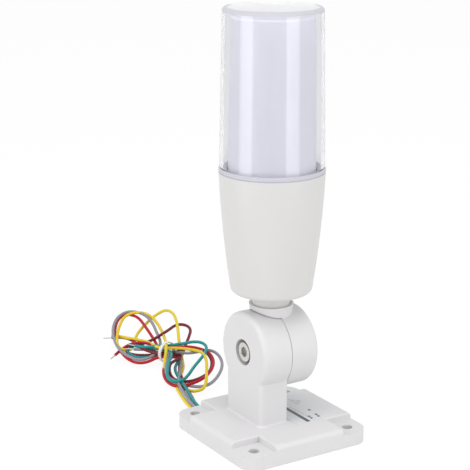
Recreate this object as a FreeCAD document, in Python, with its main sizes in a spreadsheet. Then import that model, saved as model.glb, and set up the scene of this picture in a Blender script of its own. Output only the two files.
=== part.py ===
"""Signal tower light: one three-colour lamp on a folding base.

Frame: millimetres, +Z up, origin at the middle of the base's underside.
+X runs along the hinge axis, away from the pivot screw's head.  +Y is the back of the base.
The lamp stands upright at rest and folds about the hinge axis, forward or back.
"""
import FreeCAD, Part
import math
import os
import re

import Sketcher
from FreeCAD import Placement, Rotation, Vector

NAME = re.compile(r"[a-z][a-z_]*[a-z]")
FULL_TURN = 360
DOC = FreeCAD.newDocument("SignalTowerLight")
SHEET = DOC.addObject("Spreadsheet::Sheet", "Sizes")

# Driving dimensions, in millimetres and degrees.
SIZES = {
    # base plate
    "base_side": 74.0,
    "base_height": 10.5,
    "base_corner": 8.5,
    "base_edge": 2.5,
    "base_wall": 2.6,
    "base_roof": 2.8,
    "rib_height": 3.2,
    "rib_thickness": 1.6,
    "notch_side": 16.5,
    "notch_edge": 0.8,
    "ledge_height": 7.0,
    "hole_pitch": 57.0,
    "hole_diameter": 5.5,
    "wire_slot_height": 4.4,
    "wire_slot_place": 18.5,
    "wire_slot_clearance": 0.4,
    # hinge
    "lamp_offset_across": 2.0,
    "lamp_offset_back": 3.0,
    "hinge_height": 46.5,
    "knuckle_diameter": 42.0,
    "hinge_middle": 1.2,
    "knuckle_near": 16.1,
    "knuckle_far": 16.5,
    "knuckle_gap": 0.3,
    "knuckle_edge": 2.6,
    "post_root": 1.2,
    "post_depth": 32.6,
    "post_wall": 3.0,
    "pivot_bore_clearance": 0.1,
    "pivot_boss": 12.0,
    "chamber_diameter": 33.0,
    "chamber_depth": 6.0,
    "wire_bore": 9.0,
    # pivot screw, washer, spring washer and nut
    "screw_diameter": 6.0,
    "screw_head_diameter": 10.0,
    "screw_head_height": 6.0,
    "screw_socket": 5.0,
    "screw_socket_depth": 3.0,
    "screw_recess": 0.6,
    "screw_length": 25.0,
    "head_pocket_diameter": 13.7,
    "washer_diameter": 12.0,
    "washer_thickness": 1.6,
    "washer_clearance": 0.2,
    "nut_width": 10.0,
    "nut_height": 5.0,
    "nut_recess": 1.4,
    "nut_clearance": 0.2,
    # collar on the hinge head
    "collar_diameter": 22.9,
    "collar_rise": 2.9,
    "collar_draft": 0.8,
    "collar_sink": 4.4,
    "collar_bore": 20.0,
    "collar_gap": 0.6,
    "collar_floor": 0.6,
    "passage_diameter": 7.0,
    # cup (lamp housing)
    "neck_show": 6.4,
    "cup_height": 62.6,
    "cup_middle_height": 31.8,
    "cup_bottom_diameter": 41.2,
    "cup_middle_diameter": 49.2,
    "cup_rim_diameter": 53.6,
    "cup_wall": 2.3,
    "cup_floor": 2.6,
    "cup_edge": 2.8,
    "cup_seat_depth": 8.0,
    "cup_step": 0.8,
    "neck_diameter": 19.6,
    "neck_bore": 11.0,
    # lens cover, seal and diffuser
    "lens_height": 81.6,
    "lens_top_diameter": 50.0,
    "lens_foot_diameter": 53.0,
    "lens_edge": 2.0,
    "lens_wall": 1.8,
    "lens_flange": 1.2,
    "lens_heel": 0.6,
    "lens_skirt": 7.0,
    "skirt_diameter": 48.4,
    "skirt_clearance": 0.2,
    "seal_thickness": 0.5,
    "seal_width": 1.8,
    "seal_inset": 0.4,
    "diffuser_headroom": 2.2,
    "diffuser_top_diameter": 41.4,
    "diffuser_foot_diameter": 44.4,
    "diffuser_wall": 1.2,
    "diffuser_edge": 1.5,
    # driver board and what it carries
    "board_drop": 11.4,
    "board_thickness": 1.6,
    "board_diameter": 45.8,
    "pillar_diameter": 6.0,
    "pillar_circle": 33.0,
    "board_screw_diameter": 2.6,
    "board_screw_clearance": 0.1,
    "board_hole_clearance": 0.4,
    "board_screw_length": 8.0,
    "board_screw_head": 4.8,
    "board_screw_head_height": 1.8,
    "buzzer_diameter": 14.0,
    "buzzer_height": 7.5,
    "buzzer_across": -8.0,
    "buzzer_along": 4.0,
    "capacitor_diameter": 8.0,
    "capacitor_height": 12.0,
    "capacitor_across": 8.0,
    "capacitor_along": 6.0,
    "rectifier_side": 8.0,
    "rectifier_height": 3.2,
    "rectifier_along": -10.0,
    "resistor_diameter": 2.6,
    "resistor_length": 7.0,
    "resistor_across": 4.5,
    "resistor_along": -1.0,
    "resistor_pitch": 3.4,
    # upright light boards
    "column_radius": 7.4,
    "column_width": 16.0,
    "column_headroom": 10.2,
    "led_side": 3.2,
    "led_height": 1.2,
    "led_spread": 4.6,
    "led_margin": 6.4,
    # rating label on the base
    "label_length": 38.8,
    "label_width": 23.0,
    "label_thickness": 0.2,
    "label_gap": 2.9,
    # lead-out wires
    "wire_diameter": 1.8,
    "wire_pitch": 2.0,
    "hank_waist": 10.0,
    "hank_waist_length": 24.0,
    "lobe_band": 8.0,
    "near_lobe_across": 6.3,
    "near_lobe_along": 91.0,
    "near_lobe_height": 8.4,
    "near_lobe_half_width": 18.0,
    "near_lobe_half_length": 25.0,
    "near_lobe_thickness": 5.0,
    "far_lobe_across": 6.2,
    "far_lobe_along": 139.1,
    "far_lobe_height": 10.4,
    "far_lobe_half_width": 24.0,
    "far_lobe_half_length": 28.0,
    "far_lobe_thickness": 6.0,
    "tie_across": 2.2,
    "tie_along": 116.4,
    "tie_height": 8.0,
    "tie_clearance": 0.3,
    "tie_wall": 0.9,
    "tie_width": 2.4,
    # how far a cutting tool runs past the face it opens
    "overrun": 1.0,
}
LED_ROWS = 9

# Places worked out from the driving dimensions, in an order that lets each use the ones above it.
PLACES = {
    "ear_face": "hinge_middle - knuckle_gap / 2 - knuckle_near",
    "near_mate": "hinge_middle - knuckle_gap / 2",
    "far_mate": "hinge_middle + knuckle_gap / 2",
    "head_face": "ear_face + screw_recess",
    "knuckle_top": "hinge_height + knuckle_diameter / 2",
    "socket_floor": "knuckle_top + collar_gap + collar_floor",
    "collar_top": "knuckle_top + collar_rise",
    "cup_bottom": "collar_top + neck_show",
    "cup_middle": "cup_bottom + cup_middle_height",
    "cup_rim": "cup_bottom + cup_height",
    "lens_seat": "cup_rim + seal_thickness",
    "lens_top": "cup_rim + lens_height",
    "board_seat": "cup_rim - board_drop",
    "board_top": "board_seat + board_thickness",
    "diffuser_top": "lens_top - lens_wall - diffuser_headroom",
    "column_height": "diffuser_top - diffuser_wall - column_headroom - board_top",
    "led_pitch": f"(column_height - 2 * led_margin - led_side) / {LED_ROWS - 1}",
}


def fill_sheet():
    """Write each size and place into its own row of the sheet, with its name as the alias."""
    cells = {name: str(value) for name, value in SIZES.items()}
    cells.update({name: "=" + text for name, text in PLACES.items()})
    for row, (name, content) in enumerate(cells.items(), start=1):
        SHEET.set(f"A{row}", name)
        SHEET.set(f"B{row}", content)
        SHEET.setAlias(f"B{row}", name)
    DOC.recompute()


def formula(text):
    """Turn the names of sizes and places in a formula into references to the sheet."""
    known = SIZES.keys() | PLACES.keys()
    return NAME.sub(lambda word: "Sizes." + word.group() if word.group() in known else word.group(), text)


def value(text):
    """Work out a formula of sizes and places as a number."""
    return float(SHEET.evalExpression(formula(text)))


def bind(thing, **formulas):
    """Bind properties to formulas of sizes; a double underscore stands for a dot."""
    for name, text in formulas.items():
        thing.setExpression(name.replace("__", "."), formula(text))
    return thing


# Turns about the lamp axis of the board pillars, and of the light boards.
PILLAR_TURNS = (90, 210, 330)
LED_COLOURS = ("red", "yellow", "green")

# Turn and rise of each lobe of the hank, and turn of the tie's axis, in degrees.
LOBE_TURNS = {"near_lobe": (-32.1, 11.3), "far_lobe": (-27.1, 13.4)}
TIE_TURN = -32.1
# Share of the shorter of two runs that the arc between them takes up.
BEND_SHARE = 0.45

# Routes of the wires from inside the foot to the hank, in millimetres.
WIRE_ROUTES = {
    "wire_yellow": [(-20.5, 32.6, 1.3), (-20.5, 42.4, 1.3), (-18.9, 52.8, 1.3),
                    (-16.4, 63.2, 1.6), (-12.4, 78.6, 3.1)],
    "wire_brown": [(-18.5, 32.6, 1.3), (-18.5, 42.4, 1.3), (-16.6, 52.8, 1.3),
                   (-13.6, 63.2, 1.6), (-10.4, 76.6, 2.9)],
    "wire_red": [(-16.5, 32.6, 1.3), (-16.5, 42.4, 1.3), (-14.3, 52.8, 1.3),
                 (-10.8, 63.2, 1.6), (-8.4, 73.0, 2.6)],
    "wire_grey": [(-19.5, 32.6, 2.9), (-19.5, 42.4, 2.9), (-17.8, 52.8, 2.9),
                  (-15.0, 63.2, 3.3), (-11.6, 77.4, 5.0)],
    "wire_green": [(-17.5, 32.6, 2.9), (-17.5, 42.4, 2.9), (-15.4, 52.8, 2.9),
                   (-12.2, 63.2, 3.3), (-9.9, 73.4, 4.6)],
}


# ---------------------------------------------------------------- PartDesign helpers

def new_body(label, on_lamp_axis=False):
    """Start a body; the lamp's own pieces stand on the lamp axis."""
    body = DOC.addObject("PartDesign::Body", label)
    body.Label = label
    if on_lamp_axis:
        bind(body, Placement__Base__x="lamp_offset_across", Placement__Base__y="lamp_offset_back")
    return body


def new_sketch(body, name, role, lift="0"):
    """Attach a sketch to one of the body's origin planes, lifted along that plane's normal."""
    sketch = body.newObject("Sketcher::SketchObject", name)
    plane = next(item for item in body.Origin.OriginFeatures if item.Role == role)
    sketch.AttachmentSupport = [(plane, "")]
    sketch.MapMode = "FlatFace"
    bind(sketch, AttachmentOffset__Base__z=lift)
    return sketch


def hold_point(sketch, item, end, across, up):
    """Dimension one end of a sketch line or arc from the sketch's origin."""
    for kind, text in (("DistanceX", across), ("DistanceY", up)):
        index = sketch.addConstraint(Sketcher.Constraint(kind, -1, 1, item, end, value(text)))
        sketch.setExpression(f"Constraints[{index}]", formula(text))


def draw_outline(sketch, corners):
    """Draw a closed outline of straight lines through dimensioned corners."""
    first = sketch.GeometryCount
    count = len(corners)
    spots = [Vector(value(across), value(up), 0) for across, up in corners]
    for i in range(count):
        sketch.addGeometry(Part.LineSegment(spots[i], spots[(i + 1) % count]), False)
    for i, (across, up) in enumerate(corners):
        sketch.addConstraint(Sketcher.Constraint("Coincident", first + i, 2, first + (i + 1) % count, 1))
        hold_point(sketch, first + i, 1, across, up)
    return sketch


def draw_rectangle(sketch, left, right, bottom, top):
    """Draw a rectangle from its four dimensioned sides."""
    return draw_outline(sketch, [(left, bottom), (right, bottom), (right, top), (left, top)])


def draw_circle(sketch, across, up, diameter):
    """Draw a dimensioned circle."""
    item = sketch.addGeometry(Part.Circle(Vector(0, 0, 0), Vector(0, 0, 1), 1.0), False)
    hold_point(sketch, item, 3, across, up)
    index = sketch.addConstraint(Sketcher.Constraint("Diameter", item, 2.0))
    sketch.setExpression(f"Constraints[{index}]", formula(diameter))
    return sketch


def extrude(body, kind, name, sketch, length, backwards=False):
    """Pad or pocket a sketch; kind is Pad or Pocket."""
    feature = body.newObject("PartDesign::" + kind, name)
    feature.Profile = sketch
    feature.Reversed = backwards
    bind(feature, Length=length)
    return feature


def turn(body, kind, name, sketch):
    """Turn a sketch about its own vertical axis; kind is Revolution or Groove."""
    feature = body.newObject("PartDesign::" + kind, name)
    feature.Profile = sketch
    feature.ReferenceAxis = (sketch, ["V_Axis"])
    feature.Angle = FULL_TURN
    return feature


def round_edges(body, name, radius, wanted):
    """Fillet the body's edges for which wanted(edge) is true."""
    DOC.recompute()
    base = body.Tip
    chosen = [f"Edge{i}" for i, edge in enumerate(base.Shape.Edges, start=1) if wanted(edge)]
    feature = body.newObject("PartDesign::Fillet", name)
    feature.Base = (base, chosen)
    bind(feature, Radius=radius)
    return feature


def near(length, text, slack=0.01):
    """Tell whether a length agrees with a formula of sizes."""
    return abs(length - value(text)) < slack


def level_at(edge, text):
    """Tell whether an edge lies in the level plane at the height that a formula gives."""
    return near(edge.BoundBox.ZMin, text) and near(edge.BoundBox.ZMax, text)


# ---------------------------------------------------------------- base

def make_base():
    """Moulded base: hollow square foot, post, near knuckle of the hinge, wire way."""
    body = new_body("base")
    half = "base_side / 2"
    slab = draw_rectangle(new_sketch(body, "slab_outline", "XY_Plane"), "-" + half, half, "-" + half, half)
    extrude(body, "Pad", "slab", slab, "base_height")
    round_edges(body, "slab_corners", "base_corner",
                lambda edge: near(edge.BoundBox.ZLength, "base_height"))
    round_edges(body, "slab_top_edge", "base_edge", lambda edge: level_at(edge, "base_height"))

    post = draw_rectangle(new_sketch(body, "post_outline", "YZ_Plane", "ear_face"),
                          "lamp_offset_back - post_depth / 2", "lamp_offset_back + post_depth / 2",
                          "base_height / 2", "hinge_height")
    extrude(body, "Pad", "post", post, "knuckle_near")
    knuckle = draw_circle(new_sketch(body, "knuckle_outline", "YZ_Plane", "ear_face"),
                          "lamp_offset_back", "hinge_height", "knuckle_diameter")
    extrude(body, "Pad", "knuckle", knuckle, "knuckle_near")
    round_edges(body, "ear_edge", "knuckle_edge", on_ear_outline)
    round_edges(body, "post_foot", "post_root", at_post_foot)

    make_notches(body)
    make_hollows(body)
    make_wire_way(body)
    make_pivot_seat(body)
    return body


def on_ear_outline(edge):
    """Tell whether an edge bounds the ear face above the foot."""
    bounds = edge.BoundBox
    in_face = near(bounds.XMin, "ear_face") and near(bounds.XMax, "ear_face")
    return in_face and bounds.ZMax > value("base_height + overrun")


def at_post_foot(edge):
    """Tell whether an edge lies where the post stands on the foot."""
    return level_at(edge, "base_height") and edge.BoundBox.YMax < value("post_depth")


def make_notches(body):
    """Step each corner of the foot down to a ledge with its screw hole."""
    sketch = new_sketch(body, "notch_outline", "XY_Plane", "ledge_height")
    holes = new_sketch(body, "hole_outline", "XY_Plane")
    inner = "(base_side / 2 - notch_side)"
    outer = "(base_side / 2 + overrun)"
    for across in ("-", ""):
        for along in ("-", ""):
            draw_rectangle(sketch, across + inner, across + outer, along + inner, along + outer)
            draw_circle(holes, f"{across}hole_pitch / 2", f"{along}hole_pitch / 2", "hole_diameter")
    extrude(body, "Pocket", "notches", sketch, "base_height", backwards=True)
    extrude(body, "Pocket", "screw_holes", holes, "base_height", backwards=True)
    round_edges(body, "notch_top_edges", "notch_edge",
                lambda edge: level_at(edge, "base_height") and on_notch_wall(edge))


def on_notch_wall(edge):
    """Tell whether a level edge runs along a notch wall."""
    bounds = edge.BoundBox
    wall = "base_side / 2 - notch_side"
    reach = value(wall) - value("notch_edge") / 2
    along_x = near(bounds.YLength, "0") and near(abs(bounds.YMin), wall)
    along_y = near(bounds.XLength, "0") and near(abs(bounds.XMin), wall)
    return (along_x and min(abs(bounds.XMin), abs(bounds.XMax)) > reach
            or along_y and min(abs(bounds.YMin), abs(bounds.YMax)) > reach)


def make_hollows(body):
    """Core out the foot and the post from below, with ribs that carry the post's walls on."""
    side = "(base_side / 2 - base_wall)"
    arm = "(base_side / 2 - notch_side - base_wall)"
    cross = [(arm, "-" + side), (arm, "-" + arm), (side, "-" + arm), (side, arm), (arm, arm), (arm, side),
             ("-" + arm, side), ("-" + arm, arm), ("-" + side, arm), ("-" + side, "-" + arm),
             ("-" + arm, "-" + arm), ("-" + arm, "-" + side)]
    hollow = draw_outline(new_sketch(body, "hollow_outline", "XY_Plane"), cross)
    extrude(body, "Pocket", "foot_hollow", hollow, "base_height - base_roof", backwards=True)
    front, back = "lamp_offset_back - post_depth / 2", "lamp_offset_back + post_depth / 2"
    rib_foot = "base_height - base_roof - rib_height"
    along = new_sketch(body, "long_rib_outline", "XY_Plane", rib_foot)
    draw_rectangle(along, "ear_face", "ear_face + rib_thickness", "-" + side, side)
    draw_rectangle(along, "near_mate - rib_thickness", "near_mate", "-" + side, side)
    extrude(body, "Pad", "long_ribs", along, "rib_height + base_roof / 2")
    across = new_sketch(body, "cross_rib_outline", "XY_Plane", rib_foot)
    draw_rectangle(across, "-" + side, side, front, front + " + rib_thickness")
    draw_rectangle(across, "-" + side, side, back + " - rib_thickness", back)
    extrude(body, "Pad", "cross_ribs", across, "rib_height + base_roof / 2")
    core = draw_rectangle(new_sketch(body, "core_outline", "XY_Plane"),
                          "ear_face + post_wall", "near_mate - post_wall",
                          front + " + post_wall", back + " - post_wall")
    extrude(body, "Pocket", "post_core", core, "hinge_height - head_pocket_diameter / 2 - 3 * post_wall",
            backwards=True)


def make_wire_way(body):
    """Open the wires' way: the slot in the foot's back wall, the bore and the ring round the pivot."""
    chamber = new_sketch(body, "chamber_outline", "YZ_Plane", "near_mate")
    draw_circle(chamber, "lamp_offset_back", "hinge_height", "chamber_diameter")
    draw_circle(chamber, "lamp_offset_back", "hinge_height", "pivot_boss")
    extrude(body, "Pocket", "wire_chamber", chamber, "chamber_depth")
    bore = draw_circle(new_sketch(body, "wire_bore_outline", "XY_Plane", "base_height"),
                       "near_mate - wire_bore / 2 - post_wall / 2", "lamp_offset_back", "wire_bore")
    extrude(body, "Pocket", "wire_bore", bore,
            "hinge_height - chamber_diameter / 2 - base_height + 2 * overrun", backwards=True)
    slot_half = "(wire_pitch + wire_diameter / 2 + wire_slot_clearance)"
    slot = draw_rectangle(new_sketch(body, "slot_outline", "XZ_Plane", "-base_side / 2 - overrun"),
                          "-wire_slot_place - " + slot_half, "-wire_slot_place + " + slot_half,
                          "-overrun", "wire_slot_height")
    extrude(body, "Pocket", "wire_slot", slot, "notch_side + base_wall + 2 * overrun", backwards=True)


def make_pivot_seat(body):
    """Counterbore the ear for the screw's head and bore it for the shank."""
    pocket = draw_circle(new_sketch(body, "pocket_outline", "YZ_Plane", "ear_face"),
                         "lamp_offset_back", "hinge_height", "head_pocket_diameter")
    extrude(body, "Pocket", "head_pocket", pocket, "screw_recess + screw_head_height + washer_thickness",
            backwards=True)
    bore = draw_circle(new_sketch(body, "pivot_outline", "YZ_Plane", "ear_face"),
                       "lamp_offset_back", "hinge_height", "screw_diameter + pivot_bore_clearance")
    extrude(body, "Pocket", "pivot_bore", bore, "knuckle_near + overrun", backwards=True)


# ---------------------------------------------------------------- hinge head

def make_hinge_head():
    """Far knuckle and the collar that carries the lamp, moulded as one."""
    body = new_body("hinge_head", on_lamp_axis=True)
    mate = "far_mate - lamp_offset_across"
    foot = "knuckle_top - collar_sink"
    root_radius = "collar_diameter / 2 - collar_draft"
    collar = [("0", "hinge_height"), (root_radius, "hinge_height"), (root_radius, foot),
              ("collar_diameter / 2", "collar_top"), ("0", "collar_top")]
    turn(body, "Revolution", "collar", draw_outline(new_sketch(body, "collar_outline", "XZ_Plane"), collar))
    swing = draw_circle(new_sketch(body, "swing_outline", "YZ_Plane", mate), "0", "hinge_height",
                        "knuckle_diameter + 2 * collar_gap")
    extrude(body, "Pocket", "swing_clearance", swing, "collar_diameter")
    knuckle = draw_circle(new_sketch(body, "knuckle_outline", "YZ_Plane", mate), "0", "hinge_height",
                          "knuckle_diameter")
    extrude(body, "Pad", "knuckle", knuckle, "knuckle_far")
    end_face = mate + " + knuckle_far"
    round_edges(body, "end_edge", "knuckle_edge",
                lambda edge: near(edge.BoundBox.XMin, end_face) and near(edge.BoundBox.XMax, end_face))

    socket = draw_circle(new_sketch(body, "socket_outline", "XY_Plane", "collar_top"),
                         "0", "0", "collar_bore")
    extrude(body, "Pocket", "socket", socket, "collar_top - socket_floor")
    chamber = new_sketch(body, "chamber_outline", "YZ_Plane", mate)
    draw_circle(chamber, "0", "hinge_height", "chamber_diameter")
    draw_circle(chamber, "0", "hinge_height", "pivot_boss")
    extrude(body, "Pocket", "wire_chamber", chamber, "chamber_depth", backwards=True)
    passage = draw_circle(new_sketch(body, "passage_outline", "XY_Plane", "collar_top"),
                          mate + " + passage_diameter / 2 + post_wall / 2", "0", "passage_diameter")
    extrude(body, "Pocket", "wire_passage", passage,
            "collar_top - hinge_height - chamber_diameter / 2 + 2 * overrun")
    bore = draw_circle(new_sketch(body, "pivot_outline", "YZ_Plane", mate), "0", "hinge_height",
                       "screw_diameter + pivot_bore_clearance")
    extrude(body, "Pocket", "pivot_bore", bore, "knuckle_far + overrun", backwards=True)
    seat = new_sketch(body, "nut_outline", "YZ_Plane", end_face + " - nut_recess - nut_height")
    draw_hexagon(seat, "nut_width + nut_clearance")
    extrude(body, "Pocket", "nut_seat", seat, "nut_recess + nut_height + overrun", backwards=True)
    return body


def draw_hexagon(sketch, width):
    """Draw a hexagon about the hinge axis, flat to flat across the given width."""
    half = f"({width}) / 2"
    corners = [(f"{half} * sin({turned}) / cos(30)", f"hinge_height + {half} * cos({turned}) / cos(30)")
               for turned in range(0, FULL_TURN, 60)]
    return draw_outline(sketch, corners)


# ---------------------------------------------------------------- pivot hardware

def along_hinge(thing, x_text):
    """Lay a part made along its own Z along the hinge axis, starting at an X position."""
    thing.Placement = Placement(Vector(0, 0, 0), Rotation(Vector(0, 1, 0), 90))
    return bind(thing, Placement__Base__x=x_text, Placement__Base__y="lamp_offset_back",
                Placement__Base__z="hinge_height")


def cylinder(name, diameter, height, **place):
    """Make a cylinder primitive with bound sizes and place."""
    thing = DOC.addObject("Part::Cylinder", name)
    return bind(thing, Radius=f"({diameter}) / 2", Height=height, **place)


def cut(name, base, tool):
    """Take one object away from another."""
    thing = DOC.addObject("Part::Cut", name)
    thing.Base = base
    thing.Tool = tool
    thing.Label = name
    return thing


def fuse(name, parts):
    """Join several objects into one."""
    thing = DOC.addObject("Part::MultiFuse", name)
    thing.Shapes = parts
    thing.Refine = True
    thing.Label = name
    return thing


def make_pivot_screw():
    """Socket-head cap screw on the hinge axis."""
    head = cylinder("screw_head", "screw_head_diameter", "screw_head_height")
    shank = cylinder("screw_shank_body", "screw_diameter", "screw_head_height + screw_length")
    blank = fuse("screw_blank", [head, shank])
    socket = DOC.addObject("Part::Prism", "screw_socket_tool")
    socket.Polygon = 6
    bind(socket, Circumradius="screw_socket / 2 / cos(30)", Height="screw_socket_depth")
    return along_hinge(cut("pivot_screw", blank, socket), "head_face")


def make_pivot_washer():
    """Plain washer under the screw's head."""
    disc = cylinder("washer_disc", "washer_diameter", "washer_thickness")
    hole = cylinder("washer_hole", "screw_diameter + 2 * washer_clearance", "washer_thickness")
    return along_hinge(cut("pivot_washer", disc, hole), "head_face + screw_head_height")


def make_pivot_nut():
    """Hexagon nut held in the far knuckle."""
    hexagon = DOC.addObject("Part::Prism", "nut_hexagon")
    hexagon.Polygon = 6
    bind(hexagon, Circumradius="nut_width / 2 / cos(30)", Height="nut_height")
    hole = cylinder("nut_hole", "screw_diameter + pivot_bore_clearance", "nut_height")
    nut = cut("pivot_nut", hexagon, hole)
    return along_hinge(nut, "far_mate + knuckle_far - nut_recess - nut_height")


# ---------------------------------------------------------------- cup

def draw_turned_wall(sketch, corners, bends):
    """Draw a closed profile; bends maps a corner's number to a point on the arc that follows it."""
    count = len(corners)
    spots = [Vector(value(across), value(up), 0) for across, up in corners]
    ends = []
    for i in range(count):
        first, last = spots[i], spots[(i + 1) % count]
        ends.append((1, 2))
        if i not in bends:
            sketch.addGeometry(Part.LineSegment(first, last), False)
            continue
        middle = Vector(value(bends[i][0]), value(bends[i][1]), 0)
        if (middle - first).cross(last - middle).z < 0:
            first, last = last, first
            ends[i] = (2, 1)
        sketch.addGeometry(Part.Arc(first, middle, last), False)
    for i, corner in enumerate(corners):
        following = (i + 1) % count
        joint = Sketcher.Constraint("Coincident", i, ends[i][1], following, ends[following][0])
        sketch.addConstraint(joint)
        hold_point(sketch, i, ends[i][0], *corner)
    for i, bend in bends.items():
        point = sketch.addGeometry(Part.Point(Vector(value(bend[0]), value(bend[1]), 0)), True)
        hold_point(sketch, point, 1, *bend)
        sketch.addConstraint(Sketcher.Constraint("PointOnObject", point, 1, i))
    return sketch


def make_cup():
    """Lamp housing: a flared cup with a short neck below and three board pillars inside."""
    body = new_body("cup", on_lamp_axis=True)
    seat = "skirt_diameter / 2 + skirt_clearance"
    step, floor = "cup_rim - cup_seat_depth", "cup_bottom + cup_floor"
    corners = [
        ("cup_bottom_diameter / 2", "cup_bottom"), ("cup_rim_diameter / 2", "cup_rim"),
        (seat, "cup_rim"), (seat, step), (seat + " - cup_step", step),
        ("cup_bottom_diameter / 2 - cup_wall", floor), ("neck_bore / 2", floor),
        ("neck_bore / 2", "socket_floor"), ("neck_diameter / 2", "socket_floor"),
        ("neck_diameter / 2", "cup_bottom"),
    ]
    bends = {0: ("cup_middle_diameter / 2", "cup_middle"),
             4: ("cup_middle_diameter / 2 - cup_wall", "cup_middle")}
    outline = draw_turned_wall(new_sketch(body, "shell_outline", "XZ_Plane"), corners, bends)
    turn(body, "Revolution", "shell", outline)
    round_edges(body, "foot_edge", "cup_edge",
                lambda edge: (level_at(edge, "cup_bottom")
                              and near(edge.BoundBox.XLength, "cup_bottom_diameter")))
    pillars = new_sketch(body, "pillar_outline", "XY_Plane", "cup_bottom + cup_floor / 2")
    pilots = new_sketch(body, "pilot_outline", "XY_Plane", "board_seat")
    for turned in PILLAR_TURNS:
        draw_circle(pillars, *on_pillar_circle(turned), "pillar_diameter")
        draw_circle(pilots, *on_pillar_circle(turned), "board_screw_diameter + board_screw_clearance")
    extrude(body, "Pad", "pillars", pillars, "board_seat - cup_bottom - cup_floor / 2")
    extrude(body, "Pocket", "pilots", pilots, "board_screw_length")
    return body


def on_pillar_circle(turned):
    """Return the formulas of a pillar's place from the lamp's axis."""
    return f"pillar_circle / 2 * cos({turned})", f"pillar_circle / 2 * sin({turned})"


# ---------------------------------------------------------------- lens cover, seal, diffuser

def make_lens_cover():
    """Clear cover: tapered tube closed on top, with a flange on the cup and a skirt inside it."""
    body = new_body("lens_cover", on_lamp_axis=True)
    flange_top = "lens_seat + lens_flange"
    skirt, inner = "skirt_diameter / 2", "skirt_diameter / 2 - lens_wall"
    outline = [
        ("0", "lens_top"), ("lens_top_diameter / 2", "lens_top"),
        ("lens_foot_diameter / 2", flange_top), ("cup_rim_diameter / 2", flange_top),
        ("cup_rim_diameter / 2", "lens_seat"), (skirt, "lens_seat"), (skirt, "cup_rim - lens_skirt"),
        (inner, "cup_rim - lens_skirt"), (inner, "lens_seat + lens_flange / 2"),
        ("lens_foot_diameter / 2 - lens_wall", flange_top + " + lens_heel"),
        ("lens_top_diameter / 2 - lens_wall", "lens_top - lens_wall"), ("0", "lens_top - lens_wall"),
    ]
    turn(body, "Revolution", "shell", draw_outline(new_sketch(body, "shell_outline", "XZ_Plane"), outline))
    round_edges(body, "top_edge", "lens_edge", lambda edge: level_at(edge, "lens_top"))
    return body


def make_seal():
    """Flat ring between the cup's rim and the cover's flange."""
    disc = cylinder("seal_disc", "cup_rim_diameter - 2 * seal_inset", "seal_thickness")
    hole = cylinder("seal_hole", "cup_rim_diameter - 2 * seal_inset - 2 * seal_width", "seal_thickness")
    return on_lamp_axis(cut("seal", disc, hole), "0", "0", "cup_rim")


def make_diffuser():
    """Milky inner cap that stands on the driver board round the light boards."""
    body = new_body("diffuser", on_lamp_axis=True)
    outline = [
        ("0", "diffuser_top"), ("diffuser_top_diameter / 2", "diffuser_top"),
        ("diffuser_foot_diameter / 2", "board_top"),
        ("diffuser_foot_diameter / 2 - diffuser_wall", "board_top"),
        ("diffuser_top_diameter / 2 - diffuser_wall", "diffuser_top - diffuser_wall"),
        ("0", "diffuser_top - diffuser_wall"),
    ]
    turn(body, "Revolution", "shell", draw_outline(new_sketch(body, "shell_outline", "XZ_Plane"), outline))
    round_edges(body, "top_edge", "diffuser_edge", lambda edge: level_at(edge, "diffuser_top"))
    return body


# ---------------------------------------------------------------- driver board and its parts

def on_lamp_axis(thing, across, along, up):
    """Place a part at an offset from the lamp's axis."""
    return bind(thing, Placement__Base__x="lamp_offset_across + " + across,
                Placement__Base__y="lamp_offset_back + " + along, Placement__Base__z=up)


def group(name, parts):
    """Keep several separate solids as one piece."""
    thing = DOC.addObject("Part::Compound", name)
    thing.Links = parts
    thing.Label = name
    return thing


def box(name, across, along, up):
    """Make a box primitive with bound sizes."""
    thing = DOC.addObject("Part::Box", name)
    return bind(thing, Length=across, Width=along, Height=up)


def make_driver_board():
    """Round board on the cup's pillars, drilled for its screws."""
    disc = cylinder("board_disc", "board_diameter", "board_thickness")
    holes = []
    for number, turned in enumerate(PILLAR_TURNS, start=1):
        across, along = on_pillar_circle(turned)
        holes.append(cylinder(f"board_hole_{number}", "board_screw_diameter + board_hole_clearance",
                              "board_thickness", Placement__Base__x=across, Placement__Base__y=along))
    return on_lamp_axis(cut("driver_board", disc, group("board_holes", holes)), "0", "0", "board_seat")


def make_board_screws():
    """Three pan-head screws that hold the driver board on the pillars."""
    screws = []
    for number, turned in enumerate(PILLAR_TURNS, start=1):
        shank = cylinder(f"board_screw_shank_{number}", "board_screw_diameter", "board_screw_length")
        head = cylinder(f"board_screw_head_{number}", "board_screw_head", "board_screw_head_height",
                        Placement__Base__z="board_screw_length")
        screws.append(on_lamp_axis(fuse(f"board_screw_{number}", [shank, head]), *on_pillar_circle(turned),
                                   "board_top - board_screw_length"))
    return group("board_screws", screws)


def make_board_parts():
    """Buzzer, capacitor, rectifier and resistors on the board's underside."""
    buzzer = cylinder("buzzer", "buzzer_diameter", "buzzer_height")
    on_lamp_axis(buzzer, "buzzer_across", "buzzer_along", "board_seat - buzzer_height")
    capacitor = cylinder("capacitor", "capacitor_diameter", "capacitor_height")
    on_lamp_axis(capacitor, "capacitor_across", "capacitor_along", "board_seat - capacitor_height")
    rectifier = box("rectifier", "rectifier_side", "rectifier_side", "rectifier_height")
    on_lamp_axis(rectifier, "(-rectifier_side / 2)", "rectifier_along - rectifier_side / 2",
                 "board_seat - rectifier_height")
    resistors = []
    for number in range(2):
        resistor = cylinder(f"resistor_{number + 1}", "resistor_diameter", "resistor_length")
        resistor.Placement = Placement(Vector(0, 0, 0), Rotation(Vector(0, 1, 0), 90))
        resistors.append(on_lamp_axis(resistor, "resistor_across",
                                      f"resistor_along - {number} * resistor_pitch",
                                      "board_seat - resistor_diameter / 2"))
    return [buzzer, capacitor, rectifier, group("resistors", resistors)]


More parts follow.
